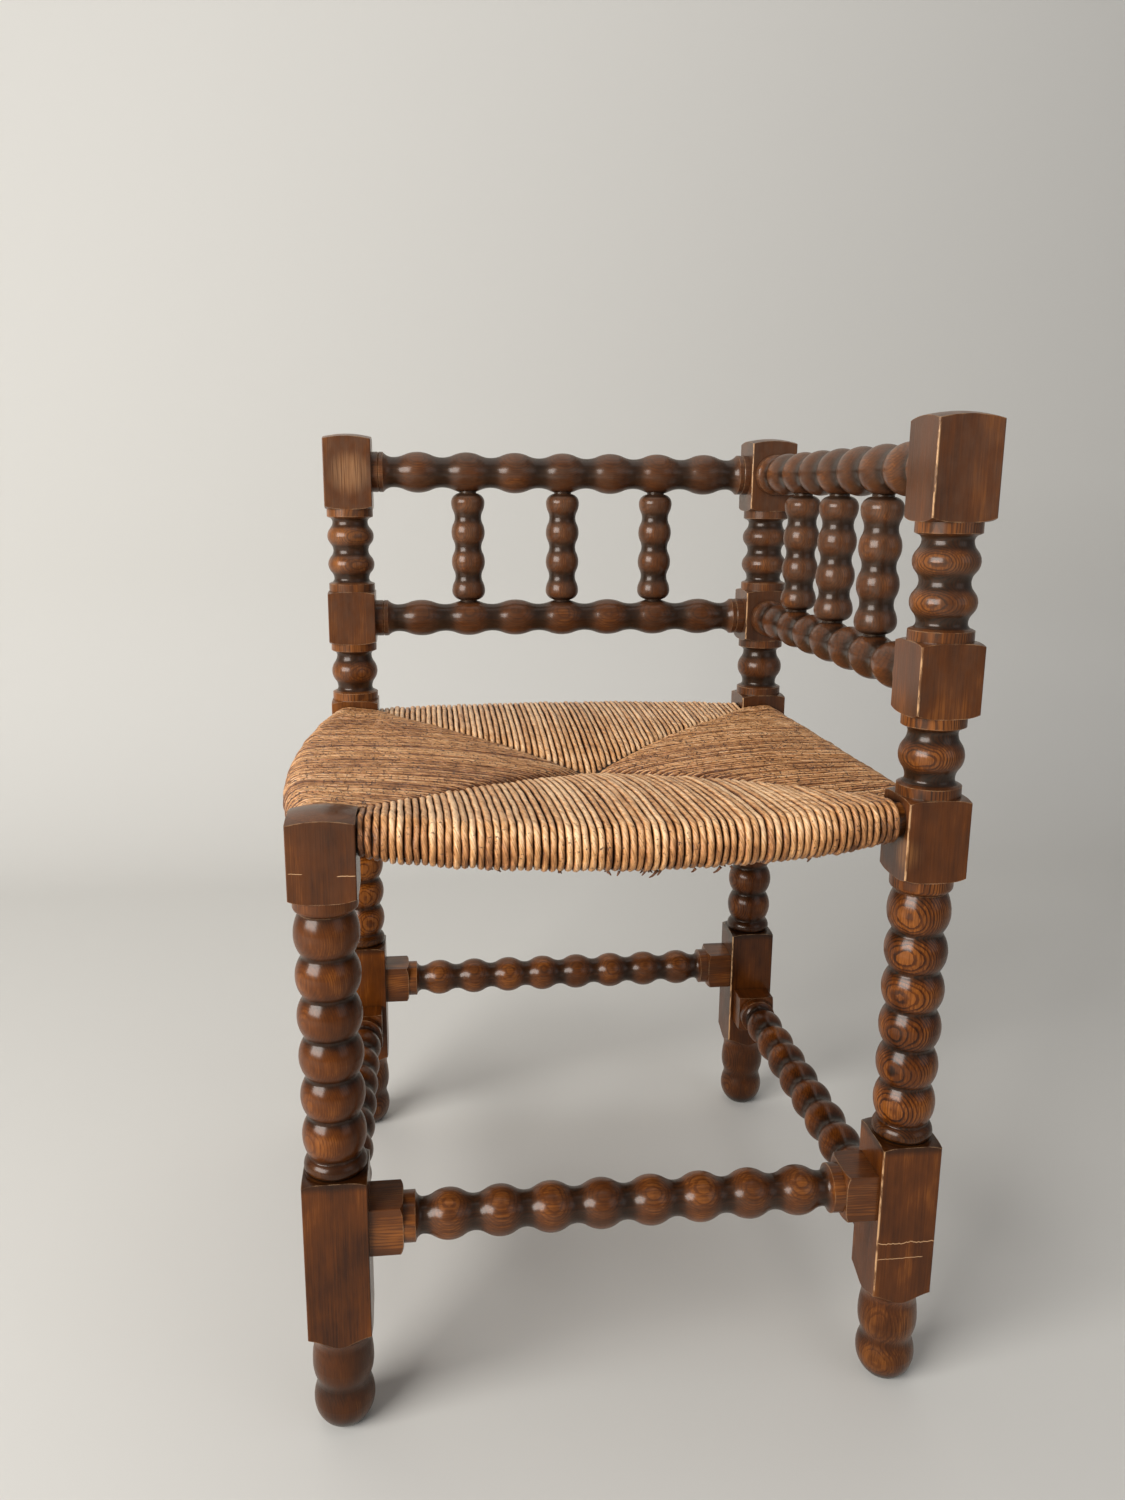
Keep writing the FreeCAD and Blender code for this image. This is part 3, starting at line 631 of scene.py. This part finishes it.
def cord_path(side, x, inset, top_runs=13, wrap_steps=10, bottom_runs=5, overlap=0.0):
    """Points of (x, out, height) from the diagonal over the rail and back below."""
    rail_out = side.rail(x)[0]
    at_mitre = x + side.drift * (1 - (x / half_span) ** 2)
    mitre = max(abs(at_mitre) - overlap, 0.5 * millimetre)
    points = []
    for step in range(top_runs):
        share = 0.03 + 0.97 * step / top_runs
        bent = x + (at_mitre - x) * (1 - share) ** 1.6
        out = mitre + (rail_out - mitre) * share
        points.append((bent, out, layer_height(side, bent, out, True, inset)))
    wrap_height, wrap_radius = side.wrap(x, inset)
    for step in range(wrap_steps + 1):
        angle = math.pi / 2 - math.pi * step / wrap_steps
        out = rail_out + wrap_radius * math.cos(angle)
        points.append((x, out, wrap_height + wrap_radius * math.sin(angle)))
    for step in range(1, bottom_runs + 1):
        out = rail_out + (abs(x) - rail_out) * step / bottom_runs * 0.97
        points.append((x, out, layer_height(side, x, out, False, inset)))
    return points


def dive_at_mitre(points):
    """Bends the first end of a cord down into the seat, where it meets the next side."""
    x, out, z = points[0]
    lowered = (x, out + 0.3 * mitre_dive, z - 0.25 * mitre_dive)
    below = (x, out - 0.2 * mitre_dive, z - 1.5 * mitre_dive)
    return [below, lowered] + points[1:]


# %% [markdown]
# ## The cords
#
# A curve with a round bevel is the shortest way to a tube along a path. All the cords of one
# side share a curve object, each as its own spline. No two cords of a hand-woven seat are
# alike, so thickness, height and line wander a little, from a seeded generator. The curve is
# then turned into a mesh. Its tubes are closed at both ends, and every vertex is told the tone
# of its cord, for the material to read.

# %% Weave one side
front_dirty_cords = 3     # the first cords of the front, dark and sunk beside the short post
front_brown_cords = 12    # its last cords, browner towards the tall post


def wander(number, step, seed):
    """A smooth number from about -1 to 1 that changes slowly along each cord."""
    return noise.noise(Vector((number, step, seed)))


def weave(side, seed):
    chance = random.Random(seed)
    curve = bpy.data.curves.new(side.name + "_rush", "CURVE")
    curve.dimensions = "3D"
    curve.bevel_depth = 1.0
    curve.bevel_resolution = 2
    curve.resolution_u = 2
    first = -half_span + 0.3 * millimetre
    last = half_span - side.end_gap - 0.3 * millimetre
    pitch = (last - first) / cords_per_side
    tones = []
    for number in range(cords_per_side):
        x = first + (number + 0.5) * pitch
        girth = cord_radius * chance.uniform(0.88, 1.07)
        lift = chance.uniform(-0.6, 0.4) * millimetre
        tone = chance.random()
        if side.name == "front":
            if number < front_dirty_cords:
                tone = -0.8 + 0.3 * number
                lift = (number - 2.5) * millimetre
            first_brown = cords_per_side - 1 - front_brown_cords
            tone -= 0.9 * max(0.0, (number - first_brown) / front_brown_cords)
        tones.append(tone)
        route = dive_at_mitre(cord_path(side, x, cord_radius + lift, overlap=side.overlap))
        spline = curve.splines.new("NURBS")
        spline.points.add(len(route) - 1)
        for step, (point, (across, out, z)) in enumerate(zip(spline.points, route)):
            sway = 0.75 * millimetre * wander(number * 3.7, step * 0.45, seed)
            hop = 0.5 * millimetre * wander(number * 5.1, step * 0.60, seed + 4.0)
            point.co = (*side.place(across + sway, out, z + hop), 1.0)
            point.radius = girth * (1 + 0.26 * wander(number * 2.3, step * 0.95, seed + 9.0))
        spline.use_endpoint_u = True
        spline.order_u = 3
    return curve, tones


# %% From curve to mesh
def curve_to_piece(curve, name, tones):
    """Turns the curve into a mesh, closes the tubes' ends and writes each cord's tone on it."""
    holder = bpy.data.objects.new(name + "_curve", curve)
    scene.collection.objects.link(holder)
    graph = bpy.context.evaluated_depsgraph_get()
    mesh = bpy.data.meshes.new_from_object(holder.evaluated_get(graph))
    bpy.data.objects.remove(holder)
    mesh.name = name
    tubes = bmesh.new()
    tubes.from_mesh(mesh)
    cord_ends = [edge for edge in tubes.edges if edge.is_boundary]
    bmesh.ops.holes_fill(tubes, edges=cord_ends, sides=0)
    bmesh.ops.recalc_face_normals(tubes, faces=tubes.faces)
    open_edges = sum(1 for edge in tubes.edges if not edge.is_manifold)
    tubes.to_mesh(mesh)
    tubes.free()
    piece = bpy.data.objects.new(name, mesh)
    scene.collection.objects.link(piece)
    per_cord = len(mesh.vertices) // len(tones)
    tone = mesh.attributes.new("tone", "FLOAT", "POINT")
    values = [tones[min(index // per_cord, len(tones) - 1)] for index in range(len(mesh.vertices))]
    tone.data.foreach_set("value", values)
    mesh.polygons.foreach_set("use_smooth", [True] * len(mesh.polygons))
    print(name, "tubes", len(tones), "faces", len(mesh.polygons), "open edges", open_edges)
    return piece


rush_pieces = []
for count, side in enumerate(sides):
    curve, tones = weave(side, 11 + count)
    piece = curve_to_piece(curve, "rush_" + side.name, tones)
    rush_pieces.append(piece)

# %% [markdown]
# ## Loose ends under the front edge
#
# Where one leaf ends and the next is twisted in, its tip is tucked underneath. With years of
# use some tips work loose, and here a few hang below the front edge as dark wisps. They are
# short splines of falling thickness, gathered in tufts.

# %% Make the loose ends
def wisp_spline(curve, side, start, out, low, length, lean, forth):
    """One leaf tip that hangs from the lower side of the rail and gets thinner."""
    spline = curve.splines.new("NURBS")
    spline.points.add(3)
    tucked = 1.5 * millimetre
    for step, point in enumerate(spline.points):
        share = step / 3
        curl = 0.35 * length * math.sin(2.2 * share) * lean
        height = low + tucked - (length + tucked) * share * 0.5 + curl
        spot = side.place(start + lean * length * share, out + forth * length * share, height)
        point.co = (*spot, 1.0)
        point.radius = (1.15 - 0.75 * share) * millimetre
    spline.use_endpoint_u = True
    spline.order_u = 3


def loose_ends(side, tufts, seed):
    chance = random.Random(seed)
    curve = bpy.data.curves.new("loose_ends", "CURVE")
    curve.dimensions = "3D"
    curve.bevel_depth = 1.0
    curve.bevel_resolution = 1
    curve.resolution_u = 3
    tones = []
    for x, wisp_count, size in tufts:
        for wisp in range(wisp_count):
            start = (x + chance.uniform(-5.0, 5.0)) * millimetre
            rail_out, rail_height = side.rail(start)
            low = rail_height - rail_radius - 2 * cord_radius
            out = rail_out + chance.uniform(-3.0, 6.0) * millimetre
            lean = chance.uniform(-1.5, 1.5)
            forth = chance.uniform(-0.5, 0.7)
            length = size * chance.uniform(0.5, 1.0) * millimetre
            wisp_spline(curve, side, start, out, low, length, lean, forth)
            tones.append(chance.uniform(-0.6, 0.1))
    return curve_to_piece(curve, "rush_loose_ends", tones)


# Each tuft: its place along the rail in millimetres, how many tips it has, and their length
tufts = [
    (-96.0, 2, 2.5), (-53.0, 3, 3.0), (-20.0, 3, 3.5), (8.0, 7, 6.0), (34.0, 2, 2.5),
    (58.0, 3, 4.0), (121.0, 3, 3.5),
]
wisps = loose_ends(sides[0], tufts, 5)

# %% [markdown]
# ## The stuffing below the cords
#
# Between the upper and lower cords a weaver packs loose rush. Its near-black colour is painted
# shade, and it shows only as darkness in the gaps. One closed body fills that room: for each side
# a plain grid whose vertices are moved just below the cords, then all four are merged where they
# meet on the diagonals, and the four small openings at the posts are filled.

# %% Points of the stuffing
stuffing_inset = 0.4 * millimetre    # how far it reaches into the cords from below
stuffing_end_gap = 0.8 * millimetre  # room to the posts
stuffing_columns = 48
layer_steps = 10
turn_steps = 10


def stuffing_row(side, right_side, left_side, x):
    """Points under one cord, from the diagonal over the rail and back to the diagonal."""
    inset = stuffing_inset
    rail_out = side.rail(x)[0]
    wrap_height, wrap_radius = side.wrap(x, inset)
    neighbour = right_side if x > 0 else left_side
    layers = []
    for is_top in (True, False):
        layer = []
        for step in range(layer_steps):
            out = abs(x) + (rail_out - abs(x)) * step / layer_steps
            z = layer_height(side, x, out, is_top, inset)
            if step == 0:
                z = (z + layer_height(neighbour, -x, out, is_top, inset)) / 2
            layer.append((x, out, z))
        layers.append(layer)
    turn = []
    for step in range(turn_steps + 1):
        angle = math.pi / 2 - math.pi * step / turn_steps
        out = rail_out + wrap_radius * math.cos(angle)
        turn.append((x, out, wrap_height + wrap_radius * math.sin(angle)))
    return layers[0] + turn + layers[1][::-1]


# %% Make the stuffing
def make_stuffing():
    body = bmesh.new()
    for number, side in enumerate(sides):
        neighbours = sides[(number + 1) % 4], sides[number - 1]
        rows = len(stuffing_row(side, *neighbours, 0.0)) - 1
        columns = stuffing_columns
        grid = bmesh.ops.create_grid(body, x_segments=columns, y_segments=rows, size=1.0)
        for vertex in grid["verts"]:
            column = round((vertex.co.x + 1) / 2 * columns)
            row = round((vertex.co.y + 1) / 2 * rows)
            x = (2 * column / columns - 1) * (half_span - stuffing_end_gap)
            vertex.co = side.place(*stuffing_row(side, *neighbours, x)[row])
    bmesh.ops.remove_doubles(body, verts=body.verts, dist=0.02 * millimetre)
    open_edges = [edge for edge in body.edges if edge.is_boundary]
    bmesh.ops.holes_fill(body, edges=open_edges, sides=0)
    bmesh.ops.triangulate(body, faces=[face for face in body.faces if len(face.verts) > 4])
    bmesh.ops.recalc_face_normals(body, faces=body.faces)
    still_open = sum(1 for edge in body.edges if not edge.is_manifold)
    litres = round(body.calc_volume(signed=True) * 1000, 3)
    print("stuffing: open edges", still_open, "volume in litres", litres)
    mesh = bpy.data.meshes.new("rush_stuffing")
    body.to_mesh(mesh)
    body.free()
    piece = bpy.data.objects.new("rush_stuffing", mesh)
    scene.collection.objects.link(piece)
    return piece


stuffing = make_stuffing()

# %% [markdown]
# ## What rush looks like
#
# Dried rush is a golden tan leaf with a low gloss. Twisting lays its fibres almost along the
# cord, so the streaks are stretched along the cords and tight across them. As with the wood,
# everything adds up to one number that picks a colour from a ramp between brown, gold and straw:
# the tone written on each cord, its streaks and lumps, and painted shade and light: flanks of the
# cords darker in the grooves, tops lighter and undersides darker, and the side fields browner.
# Ambient occlusion adds more painted shade between cords. Short dark nicks mark where leaves have
# cracked.

# %% Colours of the rush
rush_brown = (0.125, 0.040, 0.009)
rush_tan = (0.410, 0.172, 0.054)
rush_gold = (0.680, 0.345, 0.135)
rush_straw = (0.940, 0.620, 0.350)
rush_rose = (0.560, 0.210, 0.085)
# Colour of the dark nicks, and painted shade between the cords
nick_and_gap_shade = (0.034, 0.011, 0.003)
leaf_ramp = [(0.05, rush_brown), (0.36, rush_tan), (0.60, rush_gold), (0.90, rush_straw)]
print("colours of leaf, from brown to straw:", len(leaf_ramp))


# %% Streaks, lumps and nicks of a cord
def rush_figure(tree, runs_along_y, seed, nick_level, nick_pitch):
    """Streaks cross each cord at a slant, and each cord starts somewhere else in the noise."""
    own_place = tree.nodes.new("ShaderNodeTexCoord").outputs["Object"]
    x, y, z = separate(tree, vector_maths(tree, "MULTIPLY", own_place, (1000.0,) * 3))
    across, run = (x, y) if runs_along_y else (y, x)
    tone_node = tree.nodes.new("ShaderNodeAttribute")
    tone_node.attribute_name = "tone"
    tone = tone_node.outputs["Fac"]
    twisted = add_share(tree, across, maths(tree, "ADD", run, z), 0.30)
    twisted = add_share(tree, twisted, tone, 61.0)
    place = add_node(tree, "CombineXYZ", twisted, run, z)
    nick = stretched_noise(tree, place, (0.26, nick_pitch, 0.6), 2.0, seed + 2.0)
    return dict(
        tone=tone,
        streak=stretched_noise(tree, place, (1.25, 0.055, 0.055), 4.0, seed),
        lump=stretched_noise(tree, place, (0.30, 0.10, 0.10), 2.0, seed + 1.0),
        patch=stretched_noise(tree, place, (0.030, 0.022, 0.022), 2.0, seed + 3.0),
        nick=remap(tree, nick, nick_level, nick_level + 0.03),
    )


# %% Colour of a cord
def rush_colour(tree, runs_along_y, figure, shade, groove):
    """Shade moves the whole piece towards brown; on the fields of the seat it is painted shade. Groove
    is where the flanks of cords are painted darker, as shade between cords.
    """
    level = 0.62 - shade
    for name, share in (("tone", 0.30), ("streak", 1.0), ("lump", 0.75), ("patch", 0.5)):
        level = add_share(tree, level, maths(tree, "SUBTRACT", figure[name], 0.5), share)
    normal = separate(tree, tree.nodes.new("ShaderNodeNewGeometry").outputs["Normal"])
    flank = maths(tree, "ABSOLUTE", normal[0] if runs_along_y else normal[1])
    # Painted shade in the grooves: the flanks of each cord are drawn darker
    level = maths(tree, "SUBTRACT", level, remap(tree, flank, *groove, 0.0, 0.44))
    # Painted light and shade: the tops of the cords are drawn lighter and their fronts and undersides
    # darker
    level = maths(tree, "ADD", level, remap(tree, normal[2], -0.2, 0.85, -0.18, 0.14))
    colour = ramp(tree, level, leaf_ramp)
    rosy = remap(tree, figure["lump"], 0.56, 0.68, 0.0, 0.35)
    colour = mix_colour(tree, rosy, colour, rush_rose)
    colour = mix_colour(tree, maths(tree, "MULTIPLY", figure["nick"], 0.85), colour, nick_and_gap_shade)
    # Painted shade between the cords, found by ambient occlusion
    hollow = add_node(tree, "AmbientOcclusion", samples=8).node
    hollow.inputs["Distance"].default_value = 0.0035
    between_cords = remap(tree, hollow.outputs["AO"], 0.62, 0.18, 0.0, 0.92)
    return mix_colour(tree, between_cords, colour, nick_and_gap_shade)


# %% Recipe for the rush
def rush_finish(name, along, seed, shade, nick_level=0.66, nick_pitch=0.85, groove=(0.5, 0.95)):
    """Rush whose cords run along Y or X, with a low gloss and a relief of its own."""
    material = bpy.data.materials.new(name)
    material.use_nodes = True
    tree = material.node_tree
    shader = tree.nodes["Principled BSDF"]
    runs_along_y = along == "Y"
    figure = rush_figure(tree, runs_along_y, seed, nick_level, nick_pitch)
    colour = rush_colour(tree, runs_along_y, figure, shade, groove)
    tree.links.new(colour, shader.inputs["Base Color"])
    roughness = add_share(tree, 0.20, figure["streak"], 0.35)
    tree.links.new(roughness, shader.inputs["Roughness"])
    relief = add_share(tree, maths(tree, "MULTIPLY", figure["streak"], 0.9), figure["lump"], 2.2)
    relief = add_share(tree, relief, figure["nick"], -0.7)
    add_relief(tree, shader, relief, strength=0.8, depth=0.0016)
    return material


# %% Recipe for the stuffing
def stuffing_finish():
    """Crushed leaf coloured near black as painted shade, seen only through the gaps."""
    dark = bpy.data.materials.new("stuffing_finish")
    dark.use_nodes = True
    tree = dark.node_tree
    place = tree.nodes.new("ShaderNodeTexCoord").outputs["Object"]
    speck = add_node(tree, "TexNoise", place, None, 400.0, 3.0)
    colour = ramp(tree, speck, [(0.3, (0.010, 0.005, 0.002)), (0.7, (0.050, 0.022, 0.009))])
    tree.links.new(colour, tree.nodes["Principled BSDF"].inputs["Base Color"])
    tree.nodes["Principled BSDF"].inputs["Roughness"].default_value = 0.9
    return dark


# %% Dress the seat
# On the two side fields the painted shade of the grooves starts nearer to the crest of each cord, and
# the nicks are longer and more frequent
# Painted shade: each field of the seat is moved towards brown as a whole, most on the right and left
painted_side_shades = {"front": 0.0, "right": 0.18, "back": 0.02, "left": 0.21}
light_field = dict(nick_level=0.65, nick_pitch=0.85, groove=(0.50, 0.95))
dark_field = dict(nick_level=0.60, nick_pitch=0.50, groove=(0.28, 0.74))
wisp_shade = 0.45

for count, (side, piece) in enumerate(zip(sides, rush_pieces)):
    along = "Y" if side.name in ("front", "back") else "X"
    look = light_field if along == "Y" else dark_field
    finish = rush_finish("rush_" + side.name, along, 3.0 + 5.0 * count, painted_side_shades[side.name], **look)
    piece.data.materials.append(finish)
wisps.data.materials.append(rush_finish("rush_wisps", "Y", 31.0, wisp_shade))
stuffing.data.materials.append(stuffing_finish())

seat_pieces = rush_pieces + [stuffing, wisps]
for part in seat_pieces:
    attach(part, "root")
    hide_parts("rush_seat")
print("seat pieces:", len(seat_pieces))

# %% [markdown]
# ## Floor and light
#
# A pale sweep of floor and wall stands in for a room. The chair is lit as by a tall window at
# the front left: one large soft lamp, which leaves a small bright mark on every bead, and a weak
# fill from the right.

# %% Floor and wall
pale_plaster = (0.60, 0.585, 0.55)
stage_width = 10.0
floor_start = -4.0
wall_place = 1.5
wall_height = 4.0
turn_radius = 0.5


def sweep_stage():
    """Floor that turns up into a wall behind the chair in a soft curve."""
    sheet = bmesh.new()
    outline = [(floor_start, 0.0), (wall_place - turn_radius, 0.0)]
    steps = 12
    for step in range(1, steps + 1):
        angle = math.pi / 2 * step / steps
        back = wall_place - turn_radius * (1 - math.sin(angle))
        outline.append((back, turn_radius * (1 - math.cos(angle))))
    outline.append((wall_place, wall_height))
    row = [sheet.verts.new((-stage_width / 2, y, z)) for y, z in outline]
    edges = [sheet.edges.new(pair) for pair in zip(row, row[1:])]
    widened = bmesh.ops.extrude_edge_only(sheet, edges=edges)
    moved = [item for item in widened["geom"] if isinstance(item, bmesh.types.BMVert)]
    bmesh.ops.translate(sheet, verts=moved, vec=(stage_width, 0, 0))
    bmesh.ops.recalc_face_normals(sheet, faces=sheet.faces)
    for face in sheet.faces:
        face.smooth = True
    mesh = bpy.data.meshes.new("stage")
    sheet.to_mesh(mesh)
    sheet.free()
    stage = bpy.data.objects.new("stage", mesh)
    scene.collection.objects.link(stage)
    paint = bpy.data.materials.new("stage_paint")
    paint.use_nodes = True
    shader = paint.node_tree.nodes["Principled BSDF"]
    shader.inputs["Base Color"].default_value = (*pale_plaster, 1.0)
    shader.inputs["Roughness"].default_value = 0.85
    mesh.materials.append(paint)
    print("stage faces:", len(mesh.polygons))


sweep_stage()


# %% Lamps
def area_lamp(name, place, target, size, power, colour):
    data = bpy.data.lights.new(name, "AREA")
    data.shape = "RECTANGLE"
    data.size, data.size_y = size
    data.energy = power
    data.color = colour
    lamp = bpy.data.objects.new(name, data)
    scene.collection.objects.link(lamp)
    aim = (Vector(target) - Vector(place)).to_track_quat("-Z", "Y")
    lamp.matrix_world = Matrix.Translation(place) @ aim.to_matrix().to_4x4()
    print("lamp", name, power, "W")


chair_heart = (0.0, 0.0, 0.4)
daylight = (1.0, 0.985, 0.96)
sky_light = (0.93, 0.96, 1.0)
room_light = (1.0, 0.98, 0.96)
area_lamp("window", (-2.22, -1.64, 1.38), chair_heart, (2.1, 1.4), 120.0, daylight)
area_lamp("fill", (2.2, -2.2, 1.4), chair_heart, (1.8, 1.8), 7.0, sky_light)
area_lamp("ceiling", (0.0, 0.3, 2.9), chair_heart, (2.4, 2.4), 16.0, room_light)

# %% Light of the room
world = bpy.data.worlds.new("room")
scene.world = world
world.use_nodes = True
world.node_tree.nodes["Background"].inputs["Color"].default_value = (0.95, 0.96, 1.0, 1.0)
world.node_tree.nodes["Background"].inputs["Strength"].default_value = 0.26
scene.view_settings.view_transform = "Standard"
scene.view_settings.look = "None"
print("view transform:", scene.view_settings.view_transform)
